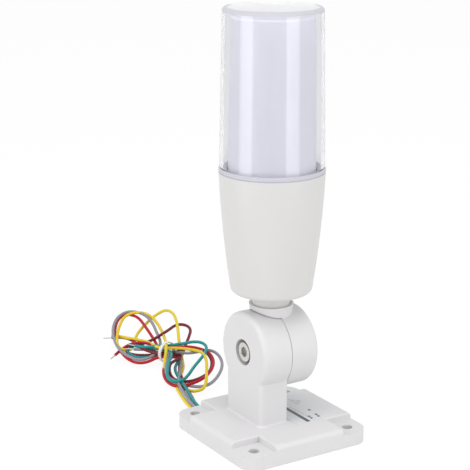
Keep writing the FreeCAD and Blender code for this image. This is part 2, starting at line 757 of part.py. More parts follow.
def facing(thing, turned, out, aside, up):
    """Place a part round the lamp's axis, turned to face outwards."""
    thing.Placement = Placement(Vector(0, 0, 0), Rotation(Vector(0, 0, 1), turned))
    return on_lamp_axis(thing, f"cos({turned}) * ({out}) - sin({turned}) * ({aside})",
                        f"sin({turned}) * ({out}) + cos({turned}) * ({aside})", up)


def make_light_boards():
    """Three upright boards in a triangle, and one group of light chips of each colour."""
    boards = []
    chips = {colour: [] for colour in LED_COLOURS}
    for number, turned in enumerate(PILLAR_TURNS, start=1):
        board = box(f"light_board_{number}", "board_thickness", "column_width", "column_height")
        boards.append(facing(board, turned, "column_radius", "-column_width / 2", "board_top"))
        for column, colour in enumerate(LED_COLOURS, start=-1):
            for row in range(LED_ROWS):
                chip = box(f"{colour}_chip_{number}_{row + 1}", "led_height", "led_side", "led_side")
                facing(chip, turned, "column_radius + board_thickness",
                       f"{column} * led_spread - led_side / 2",
                       f"board_top + led_margin + {row} * led_pitch")
                chips[colour].append(chip)
    return boards + [group(f"{colour}_leds", members) for colour, members in chips.items()]


# ---------------------------------------------------------------- label

def make_label():
    """Thin label on the foot's top, beside the post."""
    label = box("label", "label_width", "label_length", "label_thickness")
    return bind(label, Placement__Base__x="near_mate + label_gap",
                Placement__Base__y="-label_length / 2", Placement__Base__z="base_height")


# ---------------------------------------------------------------- lead-out wires

def wire_path(points):
    """Straight runs joined by tangent arcs, each as large as its two runs allow."""
    edges = []
    start = points[0]
    for before, corner, after in zip(points, points[1:], points[2:]):
        arriving, leaving = (corner - before).normalize(), (after - corner).normalize()
        shorter = min(corner.distanceToPoint(before), corner.distanceToPoint(after))
        bend = arriving.getAngle(leaving)
        reach = BEND_SHARE * shorter
        radius = reach / math.tan(bend / 2)
        first, last = corner - arriving * reach, corner + leaving * reach
        bisector = (leaving - arriving).normalize()
        middle = corner + bisector * (radius / math.cos(bend / 2) - radius)
        edges += [Part.LineSegment(start, first).toShape(), Part.Arc(first, middle, last).toShape()]
        start = last
    edges.append(Part.LineSegment(start, points[-1]).toShape())
    return Part.Wire(edges)


def make_wires():
    """Five plain tubes from the slot in the foot's back wall to the tied hank."""
    wires = []
    for name, route in WIRE_ROUTES.items():
        points = [Vector(*point) for point in route]
        circle = Part.Circle(points[0], points[1] - points[0], value("wire_diameter / 2"))
        wire = DOC.addObject("Part::Feature", name)
        wire.Shape = wire_path(points).makePipeShell([Part.Wire(circle.toShape())], True, False)
        wires.append(wire)
    return wires


def make_lobe(name):
    """One flat bunch of loops: an elliptical band, turned and raised at its far side."""
    slabs = []
    for part, inset in (("outer", "0"), ("inner", "lobe_band")):
        rim = DOC.addObject("Part::Ellipse", f"{name}_{part}_rim")
        bind(rim, MajorRadius=f"{name}_half_length - {inset}", MinorRadius=f"{name}_half_width - {inset}")
        slab = DOC.addObject("Part::Extrusion", f"{name}_{part}")
        slab.Base = rim
        slab.DirMode = "Custom"
        slab.Dir = Vector(0, 0, 1)
        slab.Solid = True
        slab.Symmetric = True
        slabs.append(bind(slab, LengthFwd=name + "_thickness"))
    band = cut(name, *slabs)
    turned, raised = LOBE_TURNS[name]
    band.Placement = Placement(Vector(0, 0, 0), Rotation(turned, 0, raised).multiply(Rotation(90, 0, 0)))
    return bind(band, Placement__Base__x=name + "_across", Placement__Base__y=name + "_along",
                Placement__Base__z=name + "_height")


def across_tie(thing, back):
    """Lay a part along the tie's axis, its near end set back from the tie's middle."""
    thing.Placement = Placement(Vector(0, 0, 0), Rotation(TIE_TURN, 90, 0))
    return bind(thing, Placement__Base__x=f"tie_across - cos({TIE_TURN}) * ({back})",
                Placement__Base__y=f"tie_along - sin({TIE_TURN}) * ({back})",
                Placement__Base__z="tie_height")


def make_hank_and_tie():
    """The tied hank as one closed solid of its outer shape, and the tie round its waist."""
    waist = across_tie(cylinder("waist", "hank_waist", "hank_waist_length"), "hank_waist_length / 2")
    bore = "hank_waist + 2 * tie_clearance"
    outer = cylinder("tie_outer", bore + " + 2 * tie_wall", "tie_width")
    inner = cylinder("tie_inner", bore, "tie_width")
    tie = across_tie(cut("wire_tie", outer, inner), "tie_width / 2")
    room_width = "tie_width + 2 * tie_clearance"
    room = cylinder("groove_outer", bore + " + 2 * tie_wall + 2 * tie_clearance", room_width)
    core = cylinder("groove_inner", "hank_waist", room_width)
    groove = across_tie(cut("groove", room, core), f"({room_width}) / 2")
    loops = fuse("loops", [make_lobe("near_lobe"), make_lobe("far_lobe"), waist])
    return [cut("wire_hank", loops, groove), tie]


# ---------------------------------------------------------------- output

def main():
    """Build every piece, test each one, and write them out only if all are sound."""
    fill_sheet()
    pieces = [make_base(), make_hinge_head(), make_pivot_screw(), make_pivot_washer(), make_pivot_nut(),
              make_cup(), make_lens_cover(), make_seal(), make_diffuser(), make_driver_board(),
              make_board_screws(), *make_board_parts(), *make_light_boards(), make_label(),
              *make_wires(), *make_hank_and_tie()]
    DOC.recompute()
    failed = [item.Name for item in DOC.Objects if "Invalid" in item.State or "Error" in item.State]
    unsound = [piece.Label for piece in pieces if piece.Shape.isNull() or not piece.Shape.isValid()]
    if failed or unsound:
        raise RuntimeError(f"failed objects {failed}, unsound pieces {unsound}")
    os.makedirs("parts", exist_ok=True)
    for piece in pieces:
        piece.Shape.exportStep(f"parts/{piece.Label}.step")
        print(piece.Label, len(piece.Shape.Solids), round(piece.Shape.Volume, 1))


main()
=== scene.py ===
"""Looks of the signal tower light: finishes, lead-out wires, label, studio and camera.

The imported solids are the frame.  Each sub-assembly class below dresses its own solids, and models
what the solids leave out: the polished cover, the label's print and the wires with their tie.
Lengths are in metres unless a docstring or a comment says millimetres, and +Z is up.
"""
import logging
import math
from dataclasses import dataclass
from enum import Enum
from typing import Callable, Iterable, Sequence

import bmesh
import bpy
from mathutils import Euler, Matrix, Vector


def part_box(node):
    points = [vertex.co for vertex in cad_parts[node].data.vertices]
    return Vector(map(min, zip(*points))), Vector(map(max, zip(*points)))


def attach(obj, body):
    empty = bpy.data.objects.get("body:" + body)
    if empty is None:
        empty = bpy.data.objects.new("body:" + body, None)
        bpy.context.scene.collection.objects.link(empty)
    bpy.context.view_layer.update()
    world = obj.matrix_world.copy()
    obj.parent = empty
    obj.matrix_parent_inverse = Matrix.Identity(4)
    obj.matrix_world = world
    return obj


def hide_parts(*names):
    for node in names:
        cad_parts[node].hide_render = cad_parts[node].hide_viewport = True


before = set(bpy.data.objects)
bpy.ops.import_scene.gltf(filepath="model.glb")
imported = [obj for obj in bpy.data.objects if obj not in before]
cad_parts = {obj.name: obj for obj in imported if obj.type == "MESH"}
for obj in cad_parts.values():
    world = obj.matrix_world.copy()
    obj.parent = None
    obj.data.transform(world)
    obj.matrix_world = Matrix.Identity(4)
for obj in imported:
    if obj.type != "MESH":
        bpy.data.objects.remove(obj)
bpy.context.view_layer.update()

LOG = logging.getLogger("tower_light")
MM = 0.001
ON_AXIS = 0.0001 * MM
UP = Vector((0.0, 0.0, 1.0))

Colour = tuple[float, float, float]
Point = tuple[float, float, float]
Socket = bpy.types.NodeSocket
Sources = dict[str, bpy.types.NodeSocket]


class Body(Enum):
    """The two rigid bodies of the light."""

    FOOT = "foot"
    LAMP = "lamp"


# ---------------------------------------------------------------- node helpers

def feed(tree: bpy.types.NodeTree, socket: Socket, value: object) -> None:
    """Give a socket its value, or link it where the value is another node's socket.

    Args:
        tree: The node tree that holds the socket.
        socket: The socket to feed.
        value: A number, a colour or a source socket.
    """
    if isinstance(value, Socket):
        tree.links.new(value, socket)
    else:
        socket.default_value = value


def node(tree: bpy.types.NodeTree, kind: str, **inputs: object) -> bpy.types.Node:
    """Add a node and set its sockets.

    Args:
        tree: The node tree to add to.
        kind: Blender's name of the node type.
        inputs: Socket names, with spaces written as underscores, and their values or source sockets.

    Returns:
        The new node.
    """
    made = tree.nodes.new(kind)
    for name, value in inputs.items():
        feed(tree, made.inputs[name.replace("_", " ")], value)
    return made


def maths(tree: bpy.types.NodeTree, operation: str, *values: object) -> Socket:
    """Add a Math node.

    Args:
        tree: The node tree to add to.
        operation: Blender's name of the operation.
        values: Numbers or source sockets, in order.

    Returns:
        The node's output socket.
    """
    made = tree.nodes.new("ShaderNodeMath")
    made.operation = operation
    for socket, value in zip(made.inputs, values):
        feed(tree, socket, value)
    return made.outputs[0]


def mix_colours(tree: bpy.types.NodeTree, share: Socket, first: object, second: object) -> Socket:
    """Blend two colours.

    Args:
        tree: The node tree to add to.
        share: Source of the second colour's share.
        first: Colour with alpha, or source socket, at share 0.
        second: Colour with alpha, or source socket, at share 1.

    Returns:
        The blended colour's socket.
    """
    made = tree.nodes.new("ShaderNodeMix")
    made.data_type = "RGBA"
    for index, value in ((0, share), (6, first), (7, second)):
        feed(tree, made.inputs[index], value)
    return made.outputs[2]


def mix_shaders(tree: bpy.types.NodeTree, share: Socket, second: Socket) -> None:
    """Blend a second shader over the one that a material's output has.

    Args:
        tree: The material's tree.
        share: Source of the second shader's share.
        second: The second shader's output.
    """
    surface = tree.nodes["Material Output"].inputs["Surface"]
    mixed = tree.nodes.new("ShaderNodeMixShader")
    for socket, source in zip(mixed.inputs, (share, surface.links[0].from_socket, second)):
        tree.links.new(source, socket)
    tree.links.new(mixed.outputs[0], surface)


class EffectGroup:
    """A shader node group with named inputs and outputs, built once and placed in many materials."""

    def __init__(self, name: str, inputs: dict[str, tuple[str, object]], outputs: dict[str, str],
                 wire: Callable[[bpy.types.NodeTree, bpy.types.Node], Sources]) -> None:
        """Build the group.

        Args:
            name: The group's name.
            inputs: Each input's socket type and default value.
            outputs: Each output's socket type.
            wire: Fills the tree and returns the source socket of each output.
        """
        self.tree = bpy.data.node_groups.new(name, "ShaderNodeTree")
        for label, (kind, default) in inputs.items():
            socket = self.tree.interface.new_socket(label, in_out="INPUT", socket_type=kind)
            socket.default_value = default
        for label, kind in outputs.items():
            self.tree.interface.new_socket(label, in_out="OUTPUT", socket_type=kind)
        given = self.tree.nodes.new("NodeGroupInput")
        result = self.tree.nodes.new("NodeGroupOutput")
        for label, source in wire(self.tree, given).items():
            self.tree.links.new(source, result.inputs[label])

    def place(self, tree: bpy.types.NodeTree, **inputs: object) -> bpy.types.Node:
        """Put the group into a material.

        Args:
            tree: The material's node tree.
            inputs: Values of the group's inputs, with spaces written as underscores.

        Returns:
            The group node.
        """
        made = tree.nodes.new("ShaderNodeGroup")
        made.node_tree = self.tree
        for name, value in inputs.items():
            made.inputs[name.replace("_", " ")].default_value = value
        return made


def wire_moulded_grain(tree: bpy.types.NodeTree, given: bpy.types.Node) -> Sources:
    """Fine spark-eroded grain with slow flow marks.

    Args:
        tree: The group's tree.
        given: The group's input node.

    Returns:
        The group's output sources.
    """
    place = tree.nodes.new("ShaderNodeTexCoord").outputs["Object"]
    fine = node(tree, "ShaderNodeTexNoise", Vector=place, Detail=3.0, Roughness=0.6)
    tree.links.new(given.outputs["Grain Scale"], fine.inputs["Scale"])
    slow = node(tree, "ShaderNodeTexNoise", Vector=place, Scale=22.0, Detail=2.0, Roughness=0.5)
    swing = maths(tree, "SUBTRACT", slow.outputs[0], 0.5)
    roughness = maths(tree, "MULTIPLY_ADD", swing, given.outputs["Roughness Swing"],
                      given.outputs["Roughness"])
    shade = maths(tree, "MULTIPLY", swing, given.outputs["Shade Swing"])
    toned = tree.nodes.new("ShaderNodeHueSaturation")
    tree.links.new(given.outputs["Colour"], toned.inputs["Color"])
    tree.links.new(maths(tree, "ADD", 1.0, shade), toned.inputs["Value"])
    return {"Colour": toned.outputs[0], "Roughness": roughness, "Height": fine.outputs[0]}


def wire_plating(tree: bpy.types.NodeTree, given: bpy.types.Node) -> Sources:
    """Uneven plating: cloudy colour and roughness with fine pits.

    Args:
        tree: The group's tree.
        given: The group's input node.

    Returns:
        The group's output sources.
    """
    place = tree.nodes.new("ShaderNodeTexCoord").outputs["Object"]
    cloud = node(tree, "ShaderNodeTexNoise", Vector=place, Scale=420.0, Detail=4.0, Roughness=0.6)
    pits = node(tree, "ShaderNodeTexNoise", Vector=place, Scale=2600.0, Detail=2.0, Roughness=0.5)
    colour = mix_colours(tree, cloud.outputs[0], given.outputs["Colour"], given.outputs["Dull Colour"])
    swing = maths(tree, "SUBTRACT", cloud.outputs[0], 0.5)
    roughness = maths(tree, "MULTIPLY_ADD", swing, given.outputs["Roughness Swing"],
                      given.outputs["Roughness"])
    return {"Colour": colour, "Roughness": roughness, "Height": pits.outputs[0]}


SURFACE_OUTPUTS = {"Colour": "NodeSocketColor", "Roughness": "NodeSocketFloat", "Height": "NodeSocketFloat"}
GRAIN = EffectGroup(
    "moulded_grain",
    {"Colour": ("NodeSocketColor", (0.8, 0.8, 0.8, 1.0)),
     "Grain Scale": ("NodeSocketFloat", 1500.0),
     "Roughness": ("NodeSocketFloat", 0.4),
     "Roughness Swing": ("NodeSocketFloat", 0.12),
     "Shade Swing": ("NodeSocketFloat", 0.04)},
    SURFACE_OUTPUTS, wire_moulded_grain)
PLATING = EffectGroup(
    "zinc_plating",
    {"Colour": ("NodeSocketColor", (0.6, 0.6, 0.6, 1.0)),
     "Dull Colour": ("NodeSocketColor", (0.4, 0.4, 0.4, 1.0)),
     "Roughness": ("NodeSocketFloat", 0.35),
     "Roughness Swing": ("NodeSocketFloat", 0.35)},
    SURFACE_OUTPUTS, wire_plating)


# ---------------------------------------------------------------- finishes

def blank_material(name: str) -> tuple[bpy.types.Material, bpy.types.NodeTree, bpy.types.Node]:
    """Start a material with a Principled shader.

    Args:
        name: The material's name.

    Returns:
        The material, its tree and its Principled node.
    """
    material = bpy.data.materials.new(name)
    material.use_nodes = True
    tree = material.node_tree
    return material, tree, tree.nodes["Principled BSDF"]


def bump(tree: bpy.types.NodeTree, shader: bpy.types.Node, height: Socket, depth: float) -> None:
    """Drive a shader's normal from a height.

    Args:
        tree: The material's tree.
        shader: The Principled node.
        height: Source of the height.
        depth: Height of the relief, in metres.
    """
    made = node(tree, "ShaderNodeBump", Strength=1.0, Distance=depth, Height=height)
    tree.links.new(made.outputs[0], shader.inputs["Normal"])


def make_clear(tree: bpy.types.NodeTree, where: Socket, tint: Colour) -> None:
    """Let light straight through a material where a mask is 1.

    Args:
        tree: The material's tree.
        where: The mask.
        tint: The colour of what passes.
    """
    straight = node(tree, "ShaderNodeBsdfTransparent", Color=(*tint, 1.0))
    mix_shaders(tree, where, straight.outputs[0])


@dataclass(frozen=True)
class MouldedPlastic:
    """Opaque moulded plastic or PVC with a fine grain."""

    name: str
    colour: Colour
    roughness: float = 0.38
    grain_scale: float = 1500.0
    grain_depth: float = 0.000004
    roughness_swing: float = 0.12
    shade_swing: float = 0.03
    coat: float = 0.0
    shine: float = 0.5

    def build(self) -> bpy.types.Material:
        """Build the material.

        Returns:
            The finished material.
        """
        material, tree, shader = blank_material(self.name)
        grain = GRAIN.place(tree, Colour=(*self.colour, 1.0), Grain_Scale=self.grain_scale,
                            Roughness=self.roughness, Roughness_Swing=self.roughness_swing,
                            Shade_Swing=self.shade_swing)
        tree.links.new(grain.outputs["Colour"], shader.inputs["Base Color"])
        tree.links.new(grain.outputs["Roughness"], shader.inputs["Roughness"])
        bump(tree, shader, grain.outputs["Height"], self.grain_depth)
        shader.inputs["Coat Weight"].default_value = self.coat
        shader.inputs["Specular IOR Level"].default_value = self.shine
        return material


@dataclass(frozen=True)
class FrostedPlastic(MouldedPlastic):
    """Clear plastic with a matt outer skin: pale from outside, clear from within and to the lights."""

    tint: Colour = (0.92, 0.92, 0.94)

    def build(self) -> bpy.types.Material:
        """Build the material.

        Returns:
            The finished material.
        """
        material = super().build()
        tree = material.node_tree
        path = tree.nodes.new("ShaderNodeLightPath").outputs
        side = tree.nodes.new("ShaderNodeNewGeometry").outputs
        make_clear(tree, maths(tree, "MAXIMUM", path["Is Shadow Ray"], side["Backfacing"]), self.tint)
        return material


@dataclass(frozen=True)
class ClearPlastic:
    """Polished clear plastic: a thin wall that hardly bends what is seen through it, under a gloss."""

    name: str
    colour: Colour
    roughness: float = 0.02
    index: float = 1.12
    gloss: float = 0.7
    gloss_roughness: float = 0.06
    ripple_depth: float = 0.000003
    ripple_shade: float = 0.97

    def build(self) -> bpy.types.Material:
        """Build the material.

        Returns:
            The finished material.
        """
        material, tree, shader = blank_material(self.name)
        place = tree.nodes.new("ShaderNodeTexCoord").outputs["Object"]
        ripple = node(tree, "ShaderNodeTexNoise", Vector=place, Scale=35.0, Detail=1.0, Roughness=0.4)
        shaded = (*(self.ripple_shade * part for part in self.colour), 1.0)
        tint = mix_colours(tree, ripple.outputs[0], (*self.colour, 1.0), shaded)
        tree.links.new(tint, shader.inputs["Base Color"])
        bump(tree, shader, ripple.outputs[0], self.ripple_depth)
        shader.inputs["Roughness"].default_value = self.roughness
        shader.inputs["IOR"].default_value = self.index
        shader.inputs["Transmission Weight"].default_value = 1.0
        shader.inputs["Coat Weight"].default_value = self.gloss
        shader.inputs["Coat Roughness"].default_value = self.gloss_roughness
        path = tree.nodes.new("ShaderNodeLightPath").outputs
        make_clear(tree, path["Is Shadow Ray"], self.colour)
        return material


@dataclass(frozen=True)
class PlatedSteel:
    """Zinc-plated or tinned metal."""

    name: str
    colour: Colour
    dull_colour: Colour
    roughness: float = 0.34
    pit_depth: float = 0.000006

    def build(self) -> bpy.types.Material:
        """Build the material.

        Returns:
            The finished material.
        """
        material, tree, shader = blank_material(self.name)
        plating = PLATING.place(tree, Colour=(*self.colour, 1.0), Dull_Colour=(*self.dull_colour, 1.0),
                                Roughness=self.roughness)
        tree.links.new(plating.outputs["Colour"], shader.inputs["Base Color"])
        tree.links.new(plating.outputs["Roughness"], shader.inputs["Roughness"])
        bump(tree, shader, plating.outputs["Height"], self.pit_depth)
        shader.inputs["Metallic"].default_value = 1.0
        return material


@dataclass(frozen=True)
class WireInsulation(MouldedPlastic):
    """Dull PVC round a wire."""

    roughness: float = 0.4
    shine: float = 0.3
    shade_swing: float = 0.2


@dataclass(frozen=True)
class SmoothPlastic(MouldedPlastic):
    """Film, ink or plastic with hardly any grain."""

    roughness: float = 0.35
    grain_depth: float = 0.000001


@dataclass(frozen=True)
class ChipCap(MouldedPlastic):
    """Glossy coloured cap of a light chip."""

    roughness: float = 0.2


class Finish(Enum):
    """Every finish on the light."""

    HOUSING = MouldedPlastic("housing_white", (0.69, 0.682, 0.69), roughness=0.42)
    CUP = MouldedPlastic("cup_white", (0.64, 0.635, 0.625), roughness=0.36)
    COVER = ClearPlastic("cover_clear", (0.865, 0.87, 0.89))
    FROSTED = FrostedPlastic("cover_frosted_edges", (0.56, 0.555, 0.61), roughness=0.5,
                             grain_depth=0.000001)
    MILKY = SmoothPlastic("diffuser_milky", (0.615, 0.61, 0.66), roughness=0.3, shade_swing=0.02)
    SEAL = MouldedPlastic("seal_violet_grey", (0.50, 0.48, 0.60), roughness=0.6)
    STEEL = PlatedSteel("zinc_plate", (0.78, 0.77, 0.75), (0.52, 0.51, 0.50))
    TINNED = PlatedSteel("tinned_copper", (0.66, 0.66, 0.66), (0.45, 0.44, 0.43), roughness=0.28)
    BOARD = MouldedPlastic("board_white_mask", (0.78, 0.79, 0.76), roughness=0.3, coat=0.3)
    CHIP_RED = ChipCap("chip_red", (0.55, 0.05, 0.04))
    CHIP_YELLOW = ChipCap("chip_yellow", (0.75, 0.50, 0.05))
    CHIP_GREEN = ChipCap("chip_green", (0.05, 0.42, 0.16))
    BLACK = MouldedPlastic("component_black", (0.03, 0.03, 0.032), roughness=0.5)
    RESISTOR = MouldedPlastic("resistor_lacquer", (0.22, 0.40, 0.50), roughness=0.35)
    FILM = SmoothPlastic("label_film", (0.66, 0.66, 0.69), roughness=0.30, grain_depth=0.000002)
    PRINT = SmoothPlastic("label_print", (0.035, 0.035, 0.04))
    PALE_PRINT = SmoothPlastic("label_pale_print", (0.42, 0.42, 0.44))
    TIE = MouldedPlastic("tie_white", (0.80, 0.79, 0.77), roughness=0.35)
    RED = WireInsulation("insulation_red", (0.47, 0.006, 0.018))
    YELLOW = WireInsulation("insulation_yellow", (0.80, 0.60, 0.02), shade_swing=0.15)
    GREEN = WireInsulation("insulation_green", (0.010, 0.30, 0.31))
    GREY = WireInsulation("insulation_grey", (0.30, 0.29, 0.33))
    BROWN = WireInsulation("insulation_brown", (0.17, 0.016, 0.026), shade_swing=0.25)

    def material(self) -> bpy.types.Material:
        """Return this finish's material, built on first use."""
        return bpy.data.materials.get(self.value.name) or self.value.build()


# ---------------------------------------------------------------- piece helpers

def dress(names: Iterable[str], finish: Finish) -> None:
    """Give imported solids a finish.

    Args:
        names: The solids' node names.
        finish: Their finish.
    """
    for name in names:
        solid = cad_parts[name]
        solid.data.materials.clear()
        solid.data.materials.append(finish.material())
        LOG.info("dressed %s with %s", name, finish.value.name)


def place_object(name: str, data: bpy.types.ID) -> bpy.types.Object:
    """Put an object into the scene.

    Args:
        name: The object's name.
        data: Its mesh, curve, camera or light.

    Returns:
        The object.
    """
    made = bpy.data.objects.new(name, data)
    bpy.context.scene.collection.objects.link(made)
    return made


def add_piece(name: str, shape: bmesh.types.BMesh, finishes: Sequence[Finish], body: Body,
              stands_for: Sequence[str] = (), crease: float = 35.0) -> bpy.types.Object:
    """Turn a bmesh into a piece that rides on a body.

    Args:
        name: The piece's name.
        shape: Its mesh, in metres, in the frame.
        finishes: Materials, in the order of the faces' material numbers.
        body: The body it moves with.
        stands_for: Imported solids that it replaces.
        crease: Angle in degrees above which an edge stays sharp.

    Returns:
        The piece.
    """
    mesh = bpy.data.meshes.new(name)
    bmesh.ops.recalc_face_normals(shape, faces=shape.faces)
    shape.to_mesh(mesh)
    shape.free()
    mesh.shade_smooth()
    mesh.set_sharp_from_angle(angle=math.radians(crease))
    for finish in finishes:
        mesh.materials.append(finish.material())
    piece = place_object(name, mesh)
    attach(piece, body.value)
    if stands_for:
        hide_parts(*stands_for)
    LOG.info("made %s: %d faces", name, len(mesh.polygons))
    return piece


def rounded(corners: Sequence[tuple[float, float, float]], steps: int = 7) -> list[Vector]:
    """Round the corners of an open profile.

    Args:
        corners: Radius from the axis, height and rounding radius of each corner.
        steps: Points on each rounding.

    Returns:
        The profile's points.
    """
    points = []
    for i, (across, up, radius) in enumerate(corners):
        here = Vector((across, up))
        if not radius or i in (0, len(corners) - 1):
            points.append(here)
            continue
        back = (Vector(corners[i - 1][:2]) - here).normalized()
        ahead = (Vector(corners[i + 1][:2]) - here).normalized()
        half = back.angle(ahead) / 2
        centre = here + (back + ahead).normalized() * radius / math.sin(half)
        first = here + back * radius / math.tan(half) - centre
        sweep = (math.pi - 2 * half) * math.copysign(1.0, back.cross(ahead))
        for step in range(steps + 1):
            points.append(centre + Matrix.Rotation(-sweep * step / steps, 2) @ first)
    return points


def turned(profile: Sequence[Vector], axis: Vector, segments: int = 144) -> bmesh.types.BMesh:
    """Turn a profile about an upright axis.

    Args:
        profile: Points as radius and height; it closes on itself, or on the axis at both ends.
        axis: A point on the axis.
        segments: Faces round the axis.

    Returns:
        The turned mesh.
    """
    shape = bmesh.new()
    rings = []
    for point in profile:
        spots = [0.0] if point.x < ON_AXIS else [math.tau * i / segments for i in range(segments)]
        rings.append([shape.verts.new((axis.x + point.x * math.cos(angle),
                                       axis.y + point.x * math.sin(angle), point.y)) for angle in spots])
    closed = len(rings[0]) > 1 and len(rings[-1]) > 1
    pairs = list(zip(rings, rings[1:])) + ([(rings[-1], rings[0])] if closed else [])
    for low, high in pairs:
        for i in range(segments):
            j = (i + 1) % segments
            corners = [low[i % len(low)], low[j % len(low)], high[j % len(high)], high[i % len(high)]]
            face = list(dict.fromkeys(corners))
            if len(face) > 2:
                shape.faces.new(face)
    return shape


def slab(shape: bmesh.types.BMesh, low: Vector, high: Vector, number: int = 0) -> None:
    """Add a small block to a mesh.

    Args:
        shape: The mesh to add to.
        low: Lowest corner.
        high: Highest corner.
        number: Material number of its faces.
    """
    made = bmesh.ops.create_cube(shape, size=1.0)
    for vert in made["verts"]:
        vert.co = Vector([low[i] + (vert.co[i] + 0.5) * (high[i] - low[i]) for i in range(3)])
    for face in {face for vert in made["verts"] for face in vert.link_faces}:
        face.material_index = number


# ---------------------------------------------------------------- lamp

@dataclass
class LampHead:
    """Clear cover, milky diffuser, cup and seal on the lamp's axis."""

    wall: float = 1.8 * MM
    soft_edge: float = 0.3 * MM
    top_edge: float = 2.0 * MM
    diffuser_wall: float = 1.2 * MM
    diffuser_edge: float = 1.6 * MM
    flange: float = 1.2 * MM
    frosting: float = 0.9 * MM
    skirt_radius: float = 24.2 * MM
    top_radius: float = 25.0 * MM
    foot_radius: float = 26.5 * MM
    diffuser_top_radius: float = 20.7 * MM

    @staticmethod
    def axis() -> Vector:
        """Return a point on the lamp's axis."""
        low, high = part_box("cup")
        return (low + high) / 2

    def build_cover(self) -> bpy.types.Object:
        """Model the clear cover, with a frosted rim, flange and skirt, on its seal.

        Returns:
            The cover.
        """
        low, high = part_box("lens_cover")
        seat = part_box("seal")[1].z
        top, brim = high.z, (high.x - low.x) / 2
        shoulder = seat + self.flange
        frosted = shoulder + self.frosting
        inner, ceiling = self.skirt_radius - self.wall, top - self.wall
        soft = self.soft_edge
        profile = rounded([
            (0.0, top, 0.0), (self.top_radius, top, self.top_edge), (self.foot_radius, frosted, 0.0),
            (self.foot_radius, shoulder, 0.4 * MM), (brim, shoulder, 0.25 * MM), (brim, seat, 0.2 * MM),
            (self.skirt_radius, seat, 0.0), (self.skirt_radius, low.z, soft), (inner, low.z, soft),
            (inner, seat + self.flange / 2, soft),
            (self.foot_radius - self.wall, shoulder + self.wall / 3, 0.5 * MM),
            (self.top_radius - self.wall, ceiling, 1.0 * MM), (0.0, ceiling, 0.0)])
        middle = self.axis()
        shape = turned(profile, middle)
        for face in shape.faces:
            spot = face.calc_center_median()
            reach = (spot - middle).xy.length
            rim = spot.z > ceiling and reach > self.top_radius - self.wall
            outer_skin = reach > self.skirt_radius - self.wall / 2
            face.material_index = int(rim or (outer_skin and spot.z < frosted))
        return add_piece("clear_cover", shape, [Finish.COVER, Finish.FROSTED], Body.LAMP,
                         ["lens_cover"])

    def build_diffuser(self) -> bpy.types.Object:
        """Model the milky cap that stands inside the cover.

        Returns:
            The diffuser.
        """
        low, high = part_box("diffuser")
        foot, wall = (high.x - low.x) / 2, self.diffuser_wall
        profile = rounded([
            (0.0, high.z, 0.0), (self.diffuser_top_radius, high.z, self.diffuser_edge),
            (foot, low.z, 0.2 * MM), (foot - wall, low.z, 0.0),
            (self.diffuser_top_radius - wall, high.z - wall, 0.6 * MM), (0.0, high.z - wall, 0.0)])
        return add_piece("milky_diffuser", turned(profile, self.axis()), [Finish.MILKY], Body.LAMP,
                         ["diffuser"])

    def build(self) -> None:
        """Dress the lamp's solids and model its cover and diffuser."""
        dress(["cup"], Finish.CUP)
        dress(["hinge_head"], Finish.HOUSING)
        dress(["seal"], Finish.SEAL)
        self.build_cover()
        self.build_diffuser()


@dataclass
class LightEngine:
    """Boards, light chips and the parts under the driver board."""

    boards: Sequence[str] = ("driver_board", "light_board_1", "light_board_2", "light_board_3")
    black_parts: Sequence[str] = ("buzzer", "capacitor", "rectifier")

    def build(self) -> None:
        """Dress the electronics."""
        dress(self.boards, Finish.BOARD)
        dress(["red_leds"], Finish.CHIP_RED)
        dress(["yellow_leds"], Finish.CHIP_YELLOW)
        dress(["green_leds"], Finish.CHIP_GREEN)
        dress(self.black_parts, Finish.BLACK)
        dress(["resistors"], Finish.RESISTOR)
        dress(["board_screws"], Finish.STEEL)


# ---------------------------------------------------------------- foot

@dataclass
class Foot:
    """Moulded foot with its pivot hardware and the label's print.

    The print's places and sizes are across and along the label, in millimetres from its corner.
    """

    ink: float = 0.03 * MM
    bar: tuple[float, float] = (5.9, 0.1)
    bar_width: float = 2.1
    ticks: Sequence[tuple[float, float]] = ((10.2, 4.8), (10.0, 2.4), (14.9, 5.1), (14.6, 2.6),
                                            (15.3, 11.9))
    tick_size: tuple[float, float] = (1.4, 1.7)
    dots: int = 7
    first_dot: tuple[float, float] = (8.9, 19.6)
    dot_step: tuple[float, float] = (0.2, -2.1)
    dot_size: tuple[float, float] = (0.7, 1.2)
    fields: Sequence[tuple[float, float]] = ((14.8, 22.4), (14.8, 26.8), (17.2, 24.4))
    field_pitch: float = 1.2
    long_field: tuple[float, float] = (0.6, 3.6)
    short_field: tuple[float, float] = (0.6, 2.4)

    def build_label_print(self) -> bpy.types.Object:
        """Model the label's black bar, its dark ticks, a row of dots and its plain fields.

        Returns:
            The print.
        """
        low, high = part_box("label")
        shape = bmesh.new()
        base = Vector((low.x, low.y, high.z))

        def print_block(place: tuple[float, float], size: tuple[float, float], number: int) -> None:
            """Print a block of a size at a place, in material `number`."""
            corner = base + Vector((*place, 0.0)) * MM
            slab(shape, corner, corner + Vector((size[0] * MM, size[1] * MM, self.ink)), number)

        bar_length = (high.y - low.y) / MM - 2 * self.bar[1]
        print_block(self.bar, (self.bar_width, bar_length), 0)
        for place in self.ticks:
            print_block(place, self.tick_size, 0)
        for step in range(self.dots):
            print_block((self.first_dot[0] + self.dot_step[0] * step,
                         self.first_dot[1] + self.dot_step[1] * step), self.dot_size, 1)
        for across, along in self.fields:
            print_block((across, along), self.long_field, 1)
            print_block((across + self.field_pitch, along), self.short_field, 1)
        return add_piece("label_print", shape, [Finish.PRINT, Finish.PALE_PRINT], Body.FOOT)

    def build(self) -> None:
        """Dress the foot's solids and print its label."""
        dress(["base"], Finish.HOUSING)
        dress(["pivot_screw", "pivot_washer", "pivot_nut"], Finish.STEEL)
        dress(["label"], Finish.FILM)
        self.build_label_print()


# ---------------------------------------------------------------- lead-out wires

